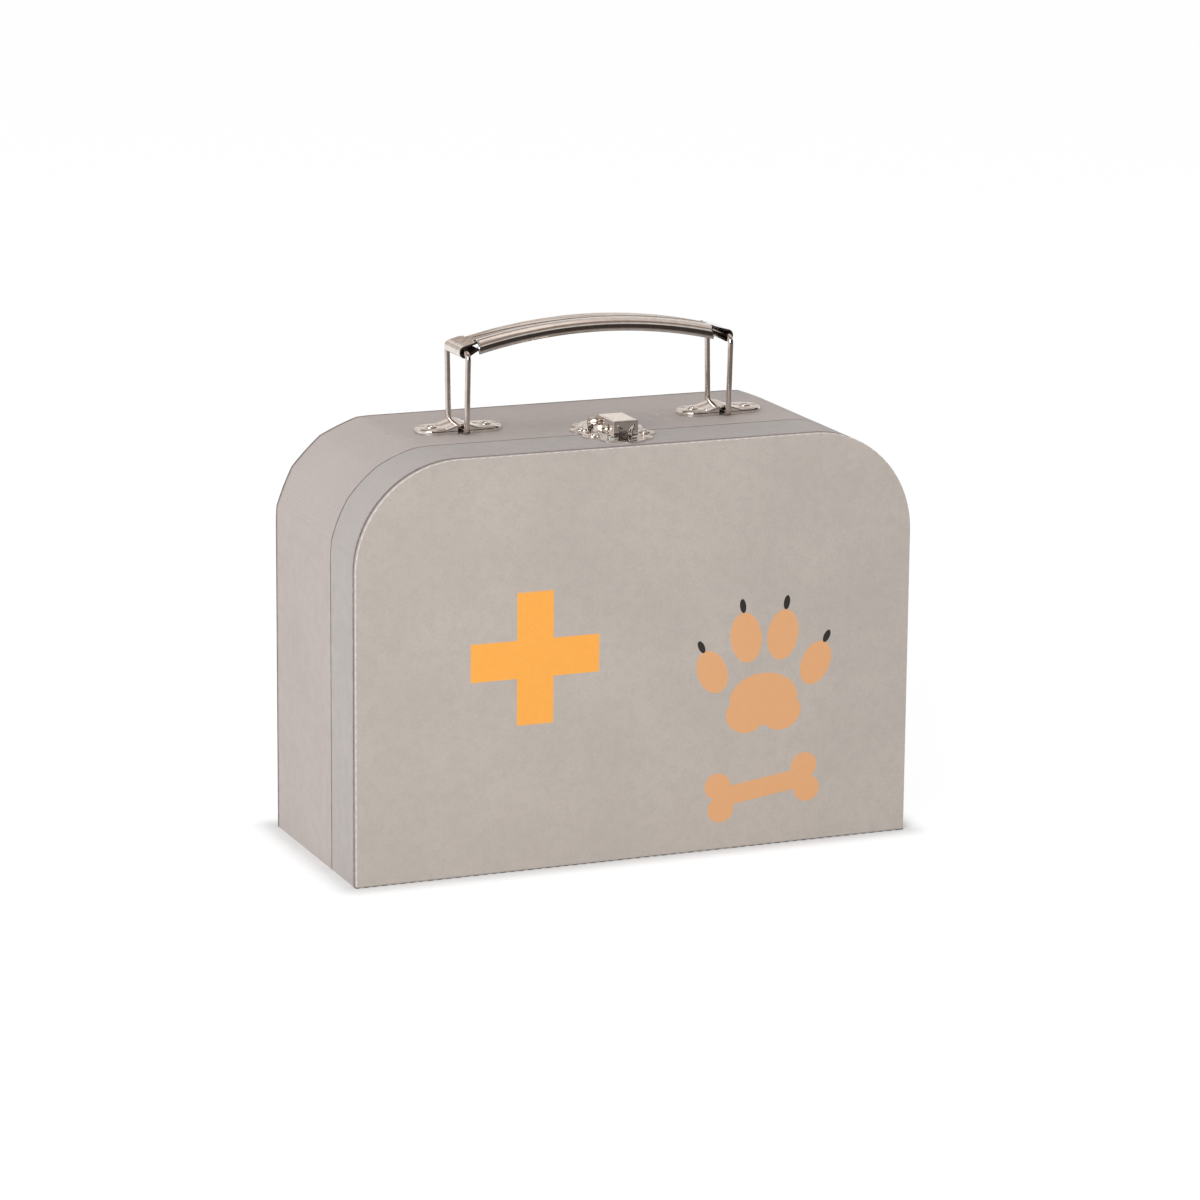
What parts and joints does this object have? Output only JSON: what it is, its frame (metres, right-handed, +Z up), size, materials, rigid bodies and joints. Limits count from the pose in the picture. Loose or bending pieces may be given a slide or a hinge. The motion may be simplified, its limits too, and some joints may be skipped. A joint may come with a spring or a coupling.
{
  "type": "toy vet kit case",
  "caption": "Small upright play suitcase of sewn grey board with a front lid hinged at its foot, a box latch and a folding sheet metal grip on wire loops.",
  "frame": {"origin": "on the floor under the middle of the closed case, at the bottom of its bounding box", "axes": "+X along the front from left to right, +Y from the front panel to the back panel, +Z up from the hinge side to the grip"},
  "size_m": [0.21, 0.086, 0.1877],
  "materials": {
    "covered_board": "matt warm grey cover paper with a faint woven print",
    "lining_paper": "plain matt",
    "hinge_cloth": "matt woven bookcloth",
    "nickel_sheet": "polished nickel plate on pressed sheet",
    "nickel_wire": "polished nickel plate on round wire"
  },
  "bodies": {
    "case_base": {"base_rim": "covered_board", "base_back_panel": "covered_board", "base_rim_lining": "lining_paper", "base_back_lining": "lining_paper", "hinge_strip_base": "hinge_cloth", "bracket_left": "nickel_sheet", "bracket_right": "nickel_sheet", "bracket_eyelets": "nickel_sheet", "latch_hinge_plate": "nickel_sheet", "latch_pin": "nickel_wire", "latch_eyelets_base": "nickel_sheet"},
    "lid": {"lid_rim": "covered_board", "lid_front_panel": "covered_board", "lid_rim_lining": "lining_paper", "lid_front_lining": "lining_paper", "hinge_strip_lid": "hinge_cloth", "latch_catch_plate": "nickel_sheet", "latch_eyelets_lid": "nickel_sheet"},
    "hasp": {"latch_hasp": "nickel_sheet"},
    "left_loop": {"loop_left": "nickel_wire"},
    "right_loop": {"loop_right": "nickel_wire"},
    "grip_bar": {"grip": "nickel_sheet"}
  },
  "joints": [
    {"name": "lid_hinge", "type": "hinge", "parent": "case_base", "child": "lid", "pos_m": [0, -0.0175, 0.0004], "axis": [1, 0, 0], "range_deg": [0, 105]},
    {"name": "hasp_hinge", "type": "hinge", "parent": "case_base", "child": "hasp", "pos_m": [0, -0.013, 0.1524], "axis": [-1, 0, 0], "range_deg": [0, 100]},
    {"name": "left_loop_swing", "type": "hinge", "parent": "case_base", "child": "left_loop", "pos_m": [-0.05, 0.004, 0.1504], "axis": [0, 1, 0], "range_deg": [-85, 85]},
    {"name": "right_loop_swing", "type": "hinge", "parent": "case_base", "child": "right_loop", "pos_m": [0.05, 0.004, 0.1504], "axis": [0, 1, 0], "range_deg": [-85, 85]},
    {"name": "grip_pivot", "type": "hinge", "parent": "left_loop", "child": "grip_bar", "pos_m": [-0.05, 0.004, 0.1782], "axis": [0, 1, 0], "range_deg": [-85, 85]}
  ],
  "couplings": [
    {"joint": "right_loop_swing", "follows": "left_loop_swing", "ratio": 1},
    {"joint": "grip_pivot", "follows": "left_loop_swing", "ratio": -1}
  ]
}
